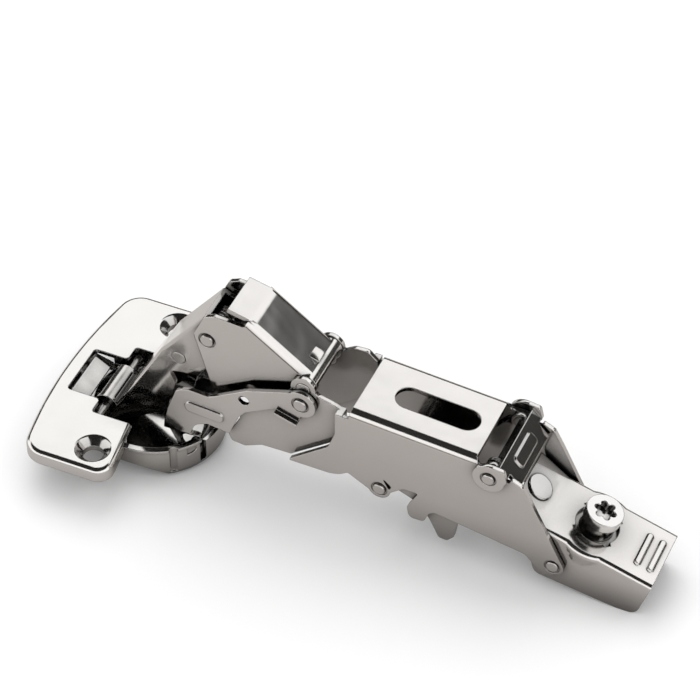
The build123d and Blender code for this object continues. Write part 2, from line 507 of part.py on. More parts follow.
with BuildPart() as arm_channel:
    # rear walls and flat top
    with BuildSketch(side_plane(ARM_HALF)):
        corners((41.4, 3.7, 0.3), (52.3, 12.5, 3), (54.2, 17.9, 3), (54.2, 24.6, 0.3), (57.6, 24.2, 0.5),
                (58.2, 27.0, 0), (*ARM_REAR, 0), (91.6, 22.6, 0.8), (95.9, 22.6, 0.8), (98.4, 20.0, 0.5),
                (99.6, 19.9, 0.3), (100.0, 21.1, 0.4), (103.0, 19.6, 1.5), (105.4, 15.0, 5),
                (115.2, -5.2, 2.2), (109.3, -8.3, 2.6), (104.6, -2.9, 2), (92.7, -0.7, 5),
                (80.6, 1.4, 1.0), (79.2, 0.4, 0.8), (77.9, -2.9, 1.3), (73.9, -3.0, 1.8), (73.4, 0.6, 1.2),
                (76.4, 6.3, 0.5), (72.3, 6.3, 1.5), (68.9, 3.4, 1), (66.2, 0.8, 1.5), (57.6, 5.8, 0.5),
                (55.2, 4.2, 3), (52.6, 3.6, 3))
        disc(CATCH_PIN, CATCH_PIN_R + 1.3)
    extrude(amount=2 * ARM_HALF)
    fillet(folds(arm_channel, ARM_TOP, ARM_REAR, ARM_HALF), ARM_BEND_R)
    with BuildSketch(side_plane(ARM_HALF - SHEET)):
        under = inset([ARM_TOP, ARM_REAR], SHEET)
        Polygon((AHEAD, BELOW), (AHEAD, ABOVE), (ARM_TOP[0], ABOVE), under[0], under[1], (ARM_REAR[0], ABOVE),
                (BEHIND, ABOVE), (BEHIND, BELOW), align=None)
    extrude(amount=2 * (ARM_HALF - SHEET), mode=Mode.SUBTRACT)
    # oblong slot in the flat top
    slot_mid = along_slope(ARM_TOP, ARM_SLOPE, ARM_SLOT_MID)
    with BuildSketch(Plane(origin=(slot_mid[0], 0, slot_mid[1] - 3), x_dir=(cos(radians(ARM_SLOPE)), 0,
                     -sin(radians(ARM_SLOPE))), z_dir=(sin(radians(ARM_SLOPE)), 0, cos(radians(ARM_SLOPE))))):
        SlotOverall(ARM_SLOT_LEN, 2 * ARM_SLOT_R)
    extrude(amount=6, mode=Mode.SUBTRACT)
    # joggle: the upper part of the walls steps inwards to the front panels, the lower part is sheared open
    for y in (ARM_HALF, -PANEL_HALF + SHEET):
        with BuildSketch(side_plane(y)):
            joggle_in = inset(JOGGLE_EDGE[1:], 1.5 * SHEET)
            Polygon(*JOGGLE_EDGE[1:], *reversed(joggle_in), align=None)
        extrude(amount=ARM_HALF - PANEL_HALF + SHEET)
    # front panels
    for y in (PANEL_HALF, -PANEL_HALF + SHEET):
        with BuildSketch(side_plane(y)):
            corners((25.2, 1.7, 1.0), (28.8, 1.3, 1.5), (33.5, 3.5, 2), (41.4, 3.7, 0), (52.6, 12.5, 3),
                    (54.6, 17.9, 3), (54.6, 24.6, 0), (52.0, 25.6, 1), (49.0, 26.4, 1.5), (46.9, 28.6, 1),
                    (42.5, 28.0, 0), (38.0, 20.5, 3), (29.0, 15.0, 2), (27.3, 9.8, 2), (24.3, 4.0, 1.2))
            disc(COVER_PIVOT, RIVET_R + 1.5)
        extrude(amount=SHEET)
    # raised lobe on the far panel's top edge
    with BuildSketch(side_plane(PANEL_HALF)):
        corners((46.5, 26.0, 0), (48.4, 27.1, 1), (51.2, 28.9, 1.5), (54.8, 29.1, 1.5), (57.4, 26.6, 1),
                (57.4, 22.0, 0), (46.5, 22.0, 0))
    extrude(amount=SHEET)
    with BuildSketch(side_plane(ARM_HALF)):
        Polygon((55.4, 26.2), (57.2, 26.2), (57.2, 20), (55.4, 20), align=None)
    extrude(amount=ARM_HALF - PANEL_HALF + SHEET)
    # small three-sided slot behind the catch pin
    with BuildSketch(side_plane(ARM_HALF + 1)):
        corners((66.6, 7.9, 0.2), (69.2, 5.6, 0.6), (68.6, 4.0, 0.3), (67.9, 5.4, 0.2))
    extrude(amount=2 * ARM_HALF + 2, mode=Mode.SUBTRACT)
    cross_hole(OUTER_PIVOT, RIVET_R + SEAT_FIT)
    cross_hole(COVER_PIVOT, RIVET_R + SEAT_FIT)
    cross_hole(CATCH_PIN, CATCH_PIN_R + SEAT_FIT)
    cross_hole(RELEASE_PIVOT, SMALL_RIVET_R + SEAT_FIT)
    cross_hole(REAR_PIVOT, SMALL_RIVET_R + SEAT_FIT)
    ring_seats(CATCH_PIN, CATCH_PIN_R, ARM_HALF)
    ring_seats(REAR_PIVOT, SMALL_RIVET_R, ARM_HALF)
finish(arm_channel, "arm_channel")

with BuildPart() as lever_rivets:
    with BuildSketch(side_plane(-PANEL_HALF + SHEET)):
        disc(OUTER_PIVOT, RIVET_R)
    extrude(amount=OUTER_HALF + HEAD - PANEL_HALF + SHEET)
    chamfer(edges().group_by(Axis.Y)[0], 0.25)
    mirror(about=Plane.XZ)
finish(lever_rivets, "lever_rivets")

with BuildPart() as front_pin:
    with BuildSketch(side_plane(PANEL_HALF + 0.15)):
        disc(COVER_PIVOT, RIVET_R)
    extrude(amount=2 * PANEL_HALF + 0.3)
finish(front_pin, "front_pin")

with BuildPart() as catch_pin:
    with BuildSketch(side_plane(ARM_HALF + HEAD)):
        disc(CATCH_PIN, CATCH_PIN_R)
    extrude(amount=2 * (ARM_HALF + HEAD))
    chamfer(edges().group_by(Axis.Y)[0] + edges().group_by(Axis.Y)[-1], 0.25)
finish(catch_pin, "catch_pin")

# ---------------------------------------------------------------- release lever and its catch

EAR_IN = ARM_HALF + 0.15
EAR_OUT = EAR_IN + SHEET
EAR_R = 4.1
NEAR_REACH = 4.9                # the near rivet reaches this far in from the wall's face, under the spring
FAR_REACH = 2 * SHEET + LAYER_GAP + 0.1
FACE_HALF = ARM_HALF - SHEET - 0.5
LEVER_FACE = [(96.85, 23.75), (101.95, 18.2)]
BRIDGE = 3.4                    # the ears join the face over this much of its slope

with BuildPart() as release_pivots:
    with BuildSketch(side_plane(-ARM_HALF + NEAR_REACH)):
        disc(RELEASE_PIVOT, SMALL_RIVET_R)
    extrude(amount=EAR_OUT + HEAD - ARM_HALF + NEAR_REACH)
    with BuildSketch(side_plane(EAR_OUT + HEAD)):
        disc(RELEASE_PIVOT, SMALL_RIVET_R)
    extrude(amount=EAR_OUT + HEAD - ARM_HALF + FAR_REACH)
    chamfer(edges().group_by(Axis.Y)[0] + edges().group_by(Axis.Y)[-1], 0.25)
finish(release_pivots, "release_pivots")

with BuildPart() as release_lever:
    # round ears outside the arm's walls
    for y in (EAR_OUT, -EAR_IN):
        with BuildSketch(side_plane(y)):
            disc(RELEASE_PIVOT, EAR_R)
            corners((93.0, 24.0, 0), (94.8, 24.7, 1), (98.6, 24.2, 0.8), (99.3, 21.0, 0.6), (97.6, 17.8, 0))
            disc(RELEASE_PIVOT, SMALL_RIVET_R + RUN_FIT, mode=Mode.SUBTRACT)
        extrude(amount=SHEET)
    # face sloping down between the walls, joined to the ears over the walls' tops
    face_run = hypot(LEVER_FACE[1][0] - LEVER_FACE[0][0], LEVER_FACE[1][1] - LEVER_FACE[0][1])
    bridge_end = tuple(a + (b - a) * BRIDGE / face_run for a, b in zip(*LEVER_FACE))
    for run, half in ((LEVER_FACE, FACE_HALF), ([LEVER_FACE[0], bridge_end], EAR_OUT)):
        with BuildSketch(side_plane(half)):
            Polygon(*run, *reversed(inset(run, SHEET)), align=None)
        extrude(amount=2 * half)
    # narrow lip in front of the face, ending short of the spring
    with BuildSketch(side_plane(ARM_HALF - FAR_REACH - LAYER_GAP)):
        Polygon((94.5, 21.8), (96.1, 22.95), (96.9, 22.0), (94.94, 21.0), align=None)
    extrude(amount=2 * ARM_HALF - FAR_REACH - NEAR_REACH - 2 * LAYER_GAP)
    # raised pad on the face
    with BuildSketch(face_plane(*LEVER_FACE, face_run / 2, 0)):
        RectangleRounded(3.6, 10.6, 1.2)
    extrude(amount=0.45, taper=30)
    ring_seats(RELEASE_PIVOT, SMALL_RIVET_R, EAR_OUT)
finish(release_lever, "release_lever")

CATCH_HALF = ARM_HALF - SHEET - LAYER_GAP
CATCH_WEB = [(69.0, 8.4), (83.0, 9.6), (91.0, 19.5)]

with BuildPart() as release_catch:
    with BuildSketch(side_plane(CATCH_HALF)):
        corners((69.0, 8.4, 0.5), (83.0, 9.6, 1.5), (91.0, 19.5, 2), (98.0, 19.0, 1), (92.0, 8.0, 3),
                (86.6, 1.0, 2), (85.4, -6.6, 1.4), (83.6, -8.6, 1.2), (81.4, -8.4, 1.2), (78.9, -3.0, 1.5),
                (76.0, 1.4, 1), (69.0, 4.4, 0.5))
        disc(RELEASE_PIVOT, SMALL_RIVET_R + 0.75)
    extrude(amount=2 * CATCH_HALF)
    with BuildSketch(side_plane(CATCH_HALF - SHEET)):
        under = inset(CATCH_WEB[:2], SHEET)
        Polygon((AHEAD, BELOW), (AHEAD, under[0][1]), *under, (CATCH_WEB[1][0] + SHEET, ABOVE),
                (BEHIND, ABOVE), (BEHIND, BELOW), align=None)
    extrude(amount=2 * (CATCH_HALF - SHEET), mode=Mode.SUBTRACT)
    cross_hole(RELEASE_PIVOT, SMALL_RIVET_R + RUN_FIT)
finish(release_catch, "release_catch")

# small leg spring on the near release pivot, inside the wall
with BuildPart() as release_spring:
    spring_y = -CATCH_HALF + SHEET + 0.15
    with BuildSketch(side_plane(spring_y + 1.8)):
        disc(RELEASE_PIVOT, SMALL_RIVET_R + 0.75)
        disc(RELEASE_PIVOT, SMALL_RIVET_R + 0.15, mode=Mode.SUBTRACT)
    extrude(amount=1.8)
    with BuildSketch(side_plane(spring_y + 1.8)):
        Polygon((RELEASE_PIVOT[0] - 2.3, RELEASE_PIVOT[1]), (RELEASE_PIVOT[0] - 1.8, RELEASE_PIVOT[1] - 0.2),
                (88.2, 9.0), (87.3, 9.2), align=None)
    extrude(amount=0.9)
finish(release_spring, "release_spring")

# ---------------------------------------------------------------- rear carrier, a folded channel

CARRIER_REAR = along_slope(CARRIER_TOP, CARRIER_SLOPE, CARRIER_TOP_LEN)
TONGUE_END = (100.4, 12.3)
SCREW_FOOT = along_slope(CARRIER_TOP, CARRIER_SLOPE, SCREW_ALONG)
BULGE_R = CARRIER_HALF + 1.3
OPENING_R = 5.6
RIBS_ALONG = (12.6, 16.1)         # behind the depth screw


def top_plane(foot, rise):
    """The plane parallel to the carrier's flat top through foot, lifted by rise."""
    tilt = radians(CARRIER_SLOPE)
    normal = (sin(tilt), 0, cos(tilt))
    return Plane(origin=(foot[0] + rise * normal[0], 0, foot[1] + rise * normal[2]),
                 x_dir=(cos(tilt), 0, -sin(tilt)), z_dir=normal)


def bulge(radius):
    """Blend of the side walls outwards round the depth screw."""
    with BuildSketch(top_plane(SCREW_FOOT, 0)) as upper:
        Circle(radius)
    with BuildSketch(top_plane(SCREW_FOOT, -7.0)) as lower:
        Circle(radius - 1.6)
    return [upper.sketch, lower.sketch]


with BuildPart() as carrier_bulge:
    loft(sections=bulge(BULGE_R))
    fillet(faces().sort_by(Axis.Z)[-1].edges(), CARRIER_BEND_R)

with BuildPart() as rear_carrier:
    with BuildSketch(side_plane(CARRIER_HALF)):
        corners((*TONGUE_END, 0), (*CARRIER_TOP, 0), (*CARRIER_REAR, 0), (133.1, -13.0, 3.0),
                (128.0, -13.0, 6), (106.5, -9.6, 2.5), (102.9, 6.0, 2))
    extrude(amount=2 * CARRIER_HALF)
    fillet([edge for run in ((TONGUE_END, CARRIER_TOP), (CARRIER_TOP, CARRIER_REAR))
            for edge in folds(rear_carrier, *run, CARRIER_HALF)], CARRIER_BEND_R)
    add(carrier_bulge.part)
    # hollow, open below and at both ends
    with BuildSketch(side_plane(CARRIER_HALF - SHEET)) as hollow_side:
        under = inset([TONGUE_END, CARRIER_TOP, CARRIER_REAR], SHEET)
        Polygon((AHEAD, BELOW), (AHEAD, under[0][1]), *under, (BEHIND, under[-1][1]), (BEHIND, BELOW),
                align=None)
    extrude(amount=2 * (CARRIER_HALF - SHEET), mode=Mode.SUBTRACT)
    with BuildSketch(top_plane(SCREW_FOOT, -SHEET)):
        Circle(BULGE_R - SHEET)
    extrude(amount=-9, taper=8, mode=Mode.SUBTRACT)
    # opening round the depth screw, with four notches, and two pressed ribs behind it
    with BuildSketch(top_plane(SCREW_FOOT, 1)):
        Circle(OPENING_R)
        with PolarLocations(OPENING_R, 4, start_angle=45):
            Rectangle(1.8, 1.8)
    extrude(amount=-4, mode=Mode.SUBTRACT)
    with BuildSketch(top_plane(SCREW_FOOT, 0)):
        for along in RIBS_ALONG:
            with Locations((along, 0)):
                SlotOverall(11.0, 1.9, rotation=90)
    extrude(amount=0.6, taper=35)
    # round hole in the tongue for the side screw
    with BuildSketch(face_plane(TONGUE_END, CARRIER_TOP, SIDE_ALONG, 2)):
        Circle(SIDE_SHANK_R + RUN_FIT)
    extrude(amount=-5, mode=Mode.SUBTRACT)
    cross_hole(REAR_PIVOT, SMALL_RIVET_R + RUN_FIT)
finish(rear_carrier, "rear_carrier")

with BuildPart() as rear_rivets:
    with BuildSketch(side_plane(-CARRIER_HALF + SHEET)):
        disc(REAR_PIVOT, SMALL_RIVET_R)
    extrude(amount=ARM_HALF + 0.25 - CARRIER_HALF + SHEET)
    chamfer(edges().group_by(Axis.Y)[0], 0.2)
    mirror(about=Plane.XZ)
finish(rear_rivets, "rear_rivets")

# ---------------------------------------------------------------- depth screw and its collar

with BuildPart() as screw_bush:
    with BuildSketch(top_plane(SCREW_FOOT, -SHEET - 0.1)):
        Circle(OPENING_R + 1.2)
    extrude(amount=-1.2)
    with BuildSketch(top_plane(SCREW_FOOT, -SHEET - 0.1)):
        Circle(BUSH_R)
    extrude(amount=SHEET + DEPTH_STAND)
    with BuildSketch(top_plane(SCREW_FOOT, 5)):
        Circle(DEPTH_NECK_R + RUN_FIT)
    extrude(amount=-12, mode=Mode.SUBTRACT)
finish(screw_bush, "screw_bush")

with BuildPart() as depth_screw:
    with BuildSketch(top_plane(SCREW_FOOT, DEPTH_STAND)):
        Circle(DEPTH_HEAD_R)
    extrude(amount=DEPTH_HEAD_H)
    with BuildSketch(top_plane(SCREW_FOOT, DEPTH_STAND)):
        Circle(DEPTH_NECK_R)
    extrude(amount=-DEPTH_STAND - 8.0)
    # six-lobed recess
    with BuildSketch(top_plane(SCREW_FOOT, DEPTH_STAND + DEPTH_HEAD_H)):
        Circle(2.0)
        with PolarLocations(2.1, 6):
            Circle(0.75)
    extrude(amount=-2.0, mode=Mode.SUBTRACT)
finish(depth_screw, "depth_screw")

# ---------------------------------------------------------------- side screw, seen as a disc on the tongue

with BuildPart() as side_screw:
    with BuildSketch(face_plane(TONGUE_END, CARRIER_TOP, SIDE_ALONG, SCREW_CLEAR)):
        Circle(SIDE_DISC_R)
    extrude(amount=0.5)
    chamfer(edges().group_by(Axis.Z)[-1], 0.15)
    with BuildSketch(face_plane(TONGUE_END, CARRIER_TOP, SIDE_ALONG, SCREW_CLEAR)):
        Circle(SIDE_SHANK_R)
    extrude(amount=-4.5)
finish(side_screw, "side_screw")
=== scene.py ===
"""Wide-angle concealed cup hinge, clip-on type: the looks of its plated pieces."""

import json
from math import cos, radians, sin

import bmesh
import bpy
from mathutils import Matrix, Vector

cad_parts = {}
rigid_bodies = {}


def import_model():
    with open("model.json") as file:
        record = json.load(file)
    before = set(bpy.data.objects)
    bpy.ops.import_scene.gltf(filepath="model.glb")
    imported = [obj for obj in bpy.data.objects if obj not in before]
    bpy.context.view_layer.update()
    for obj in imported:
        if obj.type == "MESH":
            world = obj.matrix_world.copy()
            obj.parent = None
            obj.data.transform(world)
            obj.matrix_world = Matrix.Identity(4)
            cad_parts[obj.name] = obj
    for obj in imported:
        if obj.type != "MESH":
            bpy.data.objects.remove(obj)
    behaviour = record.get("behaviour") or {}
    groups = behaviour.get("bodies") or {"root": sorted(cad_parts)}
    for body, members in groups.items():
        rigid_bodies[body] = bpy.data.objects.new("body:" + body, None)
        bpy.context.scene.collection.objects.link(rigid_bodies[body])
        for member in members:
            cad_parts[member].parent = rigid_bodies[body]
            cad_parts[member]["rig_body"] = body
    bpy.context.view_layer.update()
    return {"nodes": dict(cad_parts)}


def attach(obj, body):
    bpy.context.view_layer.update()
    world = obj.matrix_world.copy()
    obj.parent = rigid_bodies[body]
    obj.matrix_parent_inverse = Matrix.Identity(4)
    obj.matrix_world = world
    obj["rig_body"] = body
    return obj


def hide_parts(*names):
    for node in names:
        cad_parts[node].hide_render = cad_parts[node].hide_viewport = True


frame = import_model()

# ---------------------------------------------------------------- cup and flange
# The cup and its flange are one piece of steel sheet, deep drawn, pierced for the window and the two
# screws, and nickel plated.  The plating is bright and even, with faint waves left by the drawing tool.

MM = 0.001
CUP_COLOUR = (0.76, 0.745, 0.725)
CUP_ROUGHNESS = 0.10
CUP_EDGE = 0.22 * MM
# the plating's patterns, as the scale and detail of their noise: clouds about 11 mm wide, waves of 6 mm
# and specks of 0.4 mm
CLOUDS = (90, 3)
WAVES = (160, 1)
SPECKS = (2500, 2)
# the clouds change the roughness between these shares of it, and the colour by this one
GLOSS_SPREAD = (0.8, 1.25)
CLOUD_TINT = 0.94
WAVE_HEIGHT = 0.6 * MM
SPECK_HEIGHT = 0.04 * MM
# painted shade where other surfaces lie close together: its share of the colour there, and how fast it
# gets there
PAINTED_SHADE_TINT = 0.06
PAINTED_SHADE_POWER = 1.7
PAINTED_SHADE_SAMPLES = 8
EDGE_SAMPLES = 6
# in a piece's copy, corners nearer than this are one, edges flatter than this go, and sharper ones are
# rounded
SAME_CORNER = 0.002 * MM
FLAT_BELOW = radians(0.6)
SHARP_ABOVE = radians(32)
FACE_WEIGHT = 90
LOOP_SNAP = 0.001 * MM


def plated(name, colour, roughness, wave=0.05, grain=0.03, edge=0.34 * MM, deep=11 * MM):
    """Bright plating over pressed steel: its gloss varies a little, its face waves very slightly, its cut
    edges are rounded over by edge, and painted shade darkens its colour near other surfaces."""
    material = bpy.data.materials.new(name)
    material.use_nodes = True
    nodes = material.node_tree.nodes
    links = material.node_tree.links
    shader = nodes["Principled BSDF"]
    shader.inputs["Metallic"].default_value = 1.0
    place = nodes.new("ShaderNodeTexCoord").outputs["Object"]

    def noise(scale, detail):
        node = nodes.new("ShaderNodeTexNoise")
        node.inputs["Scale"].default_value = scale
        node.inputs["Detail"].default_value = detail
        links.new(place, node.inputs["Vector"])
        return node.outputs["Fac"]

    cloud = noise(*CLOUDS)
    speck = noise(*SPECKS)
    gloss = nodes.new("ShaderNodeMapRange")
    gloss.inputs["To Min"].default_value = roughness * GLOSS_SPREAD[0]
    gloss.inputs["To Max"].default_value = roughness * GLOSS_SPREAD[1]
    links.new(cloud, gloss.inputs["Value"])
    links.new(gloss.outputs["Result"], shader.inputs["Roughness"])

    tint = nodes.new("ShaderNodeMix")
    tint.data_type = "RGBA"
    tint.inputs["A"].default_value = (*colour, 1)
    tint.inputs["B"].default_value = (*(CLOUD_TINT * c for c in colour), 1)
    links.new(cloud, tint.inputs["Factor"])

    # painted shade: ambient occlusion darkens the colour where other surfaces lie near, for the shade in
    # gaps
    shade_probe = nodes.new("ShaderNodeAmbientOcclusion")
    shade_probe.samples = PAINTED_SHADE_SAMPLES
    shade_probe.inputs["Distance"].default_value = deep
    gain = nodes.new("ShaderNodeMath")
    gain.operation = "POWER"
    links.new(shade_probe.outputs["AO"], gain.inputs[0])
    gain.inputs[1].default_value = PAINTED_SHADE_POWER
    shaded_colour = nodes.new("ShaderNodeMix")
    shaded_colour.data_type = "RGBA"
    shaded_colour.inputs["A"].default_value = (*(PAINTED_SHADE_TINT * c for c in colour), 1)
    links.new(gain.outputs["Value"], shaded_colour.inputs["Factor"])
    links.new(tint.outputs["Result"], shaded_colour.inputs["B"])
    links.new(shaded_colour.outputs["Result"], shader.inputs["Base Color"])

    rounded = nodes.new("ShaderNodeBevel")
    rounded.samples = EDGE_SAMPLES
    rounded.inputs["Radius"].default_value = edge
    soft = nodes.new("ShaderNodeBump")
    links.new(rounded.outputs["Normal"], soft.inputs["Normal"])
    soft.inputs["Strength"].default_value = wave
    soft.inputs["Distance"].default_value = WAVE_HEIGHT
    links.new(noise(*WAVES), soft.inputs["Height"])
    fine = nodes.new("ShaderNodeBump")
    fine.inputs["Strength"].default_value = grain
    fine.inputs["Distance"].default_value = SPECK_HEIGHT
    links.new(speck, fine.inputs["Height"])
    links.new(soft.outputs["Normal"], fine.inputs["Normal"])
    links.new(fine.outputs["Normal"], shader.inputs["Normal"])
    return material


def broken_edges(node, material, radius, segments=2, loops=()):
    """A copy of a CAD piece whose sharp edges are rounded over, as tumbling and plating leave them.  Loops,
    each a place and a direction in x and z, are cut across it, so that a gentle fold between two of them
    is shaded as a round."""
    body = frame["nodes"][node]["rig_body"]
    mesh = frame["nodes"][node].data.copy()
    form = bmesh.new()
    form.from_mesh(mesh)
    bmesh.ops.remove_doubles(form, verts=form.verts, dist=SAME_CORNER)
    bmesh.ops.dissolve_limit(form, angle_limit=FLAT_BELOW, verts=form.verts, edges=form.edges)
    for place, way in loops:
        bmesh.ops.bisect_plane(form, geom=form.verts[:] + form.edges[:] + form.faces[:], dist=LOOP_SNAP,
                               plane_co=(place[0] * MM, 0, place[1] * MM), plane_no=(way[0], 0, way[1]))
    form.to_mesh(mesh)
    form.free()
    if mesh.has_custom_normals:
        mesh.attributes.remove(mesh.attributes["custom_normal"])
    mesh.shade_smooth()
    piece = bpy.data.objects.new(node + "_plated", mesh)
    bpy.context.scene.collection.objects.link(piece)
    bevel = piece.modifiers.new("edge", "BEVEL")
    bevel.width = radius
    bevel.segments = segments
    bevel.limit_method = "ANGLE"
    bevel.angle_limit = SHARP_ABOVE
    bevel.miter_outer = "MITER_ARC"
    weighted = piece.modifiers.new("shade", "WEIGHTED_NORMAL")
    weighted.keep_sharp = True
    weighted.weight = FACE_WEIGHT
    bpy.context.view_layer.update()
    baked = bpy.data.meshes.new_from_object(piece.evaluated_get(bpy.context.evaluated_depsgraph_get()))
    piece.modifiers.clear()
    piece.data = baked
    baked.materials.clear()
    baked.materials.append(material)
    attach(piece, body)
    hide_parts(node)
    return piece


nickel = plated("bright_nickel", CUP_COLOUR, CUP_ROUGHNESS)
cup = broken_edges("cup_shell", nickel, CUP_EDGE)

# ---------------------------------------------------------------- levers, arm, catch and carrier
# Each is one blank of steel sheet, punched, joggled and folded in a die, then plated in a barrel, so that
# its cut edges are slightly rounded and its folds are bright lines.

SHEET_COLOUR = (0.74, 0.72, 0.70)
SHEET_ROUGHNESS = 0.13
SHEET_WAVE = 0.07
SHEET_EDGE = 0.14 * MM
# in the long channels the painted shade reaches over this depth
CHANNEL_SHADE_REACH = 19 * MM

sheet_nickel = plated("sheet_nickel", SHEET_COLOUR, SHEET_ROUGHNESS, wave=SHEET_WAVE)
# the same sheet nickel, with painted shade reaching further into the long channels
channel_shaded_nickel = plated("channel_shaded_nickel", SHEET_COLOUR, SHEET_ROUGHNESS, wave=SHEET_WAVE, deep=CHANNEL_SHADE_REACH)
for node, finish in (("inner_lever", channel_shaded_nickel), ("outer_lever_near", sheet_nickel),
                     ("outer_lever_far", sheet_nickel), ("arm_channel", channel_shaded_nickel),
                     ("release_lever", sheet_nickel), ("release_catch", channel_shaded_nickel),
                     ("rear_carrier", sheet_nickel)):
    broken_edges(node, finish, SHEET_EDGE)

# ---------------------------------------------------------------- cover lever
# The lever over the linkage is folded from the same sheet.  Its nose and its web meet in a soft fold, and
# a small lug is pressed up out of the web near the rear end.

# the fold's place and the two ways that leave it, in x and z, in mm
COVER_FOLD = (30.4, 42.2)
WEB_RUN = (0.8, -0.6)
NOSE_RUN = (0.97, -0.243)
FOLD_SPREAD = 1.6
# the lug, from the fold along the web, across it, and up out of it, in mm
LUG_ALONG = (16.4, 19.2)
LUG_ACROSS = (-2.3, 1.7)
LUG_RISE = 1.0
LUG_FOOT = 0.05
LUG_SUNK = -0.3
LUG_EDGE = 0.22 * MM
LUG_EDGE_STEPS = 3
LUG_FLAT_BELOW = radians(1)

fold_loops = []
for side, way in ((-1, NOSE_RUN), (1, WEB_RUN)):
    place = [at + side * FOLD_SPREAD * step for at, step in zip(COVER_FOLD, way)]
    fold_loops.append((place, way))
broken_edges("cover_lever", sheet_nickel, SHEET_EDGE, loops=fold_loops)

form = bmesh.new()
for y in LUG_ACROSS:
    for along, rise in ((LUG_ALONG[0], LUG_SUNK), (LUG_ALONG[0], LUG_FOOT), (LUG_ALONG[1], LUG_RISE),
                        (LUG_ALONG[1], LUG_SUNK)):
        form.verts.new(Vector((COVER_FOLD[0] + along * WEB_RUN[0] - rise * WEB_RUN[1], y,
                               COVER_FOLD[1] + along * WEB_RUN[1] + rise * WEB_RUN[0])) * MM)
bmesh.ops.convex_hull(form, input=form.verts)
bmesh.ops.dissolve_limit(form, angle_limit=LUG_FLAT_BELOW, verts=form.verts, edges=form.edges)
bmesh.ops.bevel(form, geom=form.edges[:], offset=LUG_EDGE, segments=LUG_EDGE_STEPS, profile=0.5,
                affect="EDGES")
bmesh.ops.recalc_face_normals(form, faces=form.faces)
lug_mesh = bpy.data.meshes.new("cover_lug")
form.to_mesh(lug_mesh)
form.free()
lug_mesh.shade_smooth()
lug_mesh.materials.append(sheet_nickel)
lug = bpy.data.objects.new("cover_lug", lug_mesh)
bpy.context.scene.collection.objects.link(lug)
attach(lug, frame["nodes"]["cover_lever"]["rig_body"])

# ---------------------------------------------------------------- pins and rivets
# They are cut from drawn steel wire and plated.  The rivets' ends are upset in a press, which leaves
# their faces less even and a little duller than the sheet.

PIN_COLOUR = (0.70, 0.68, 0.66)
PIN_ROUGHNESS = 0.2
PIN_WAVE = 0.15
TURNED_EDGE = 0.15 * MM

pin_nickel = plated("pin_nickel", PIN_COLOUR, PIN_ROUGHNESS, wave=PIN_WAVE)
for node in ("cup_hinge_pin", "cup_lever_pins", "spring_spindle", "knuckle_rivet", "lever_rivets",
             "front_pin", "catch_pin", "release_pivots", "rear_rivets"):
    broken_edges(node, pin_nickel, TURNED_EDGE)

# ---------------------------------------------------------------- adjusting screws
# Both are headed cold from steel wire, with a recess for the driver, and plated.  The recess is narrow,
# and painted shade darkens the colour in it.

SCREW_COLOUR = (0.76, 0.75, 0.735)
SCREW_ROUGHNESS = 0.12
RECESS_SHADE_REACH = 2.5 * MM

screw_nickel = plated("screw_nickel", SCREW_COLOUR, SCREW_ROUGHNESS, deep=RECESS_SHADE_REACH)
for node in ("depth_screw", "side_screw"):
    broken_edges(node, screw_nickel, TURNED_EDGE)

# ---------------------------------------------------------------- screw bush
# The stepped collar under the depth screw is turned from steel.  Its colour is set darker than the nickel
# of the screw as painted shade under the screw's head.

COLLAR_COLOUR = (0.50, 0.485, 0.465)
COLLAR_ROUGHNESS = 0.2
COLLAR_SHADE_REACH = 1.2 * MM

collar_steel = plated("dark_collar", COLLAR_COLOUR, COLLAR_ROUGHNESS, deep=COLLAR_SHADE_REACH)
broken_edges("screw_bush", collar_steel, TURNED_EDGE)

# ---------------------------------------------------------------- leg springs
# Each is a close-wound coil of hard drawn wire on a rivet, with one leg running on from its last turn and
# one from its first.  The large one closes the door, the small one holds the release catch shut.

WIRE_COLOUR = (0.62, 0.60, 0.58)
WIRE_ROUGHNESS = 0.2
# how far the painted shade between the coil's turns reaches
COIL_SHADE_REACH = 5 * MM
TURN_STEPS = 40
WIRE_SIDES = 14
# node, axis in x and z, first and last turn's middle in y, mean radius, wire radius, turns, and the ends
# of the legs that leave the first and the last turn, in mm
SPRINGS = (
    ("closing_spring", (18.7, 32.4), (-2.75, 2.75), 2.5, 0.5, 5.25, (28.3, 36.5), (12.6, 21.2)),
    ("release_spring", (94.7, 20.6), (-7.9, -6.8), 2.05, 0.26, 2.25, (96.0, 22.65), (87.8, 9.3)),
)


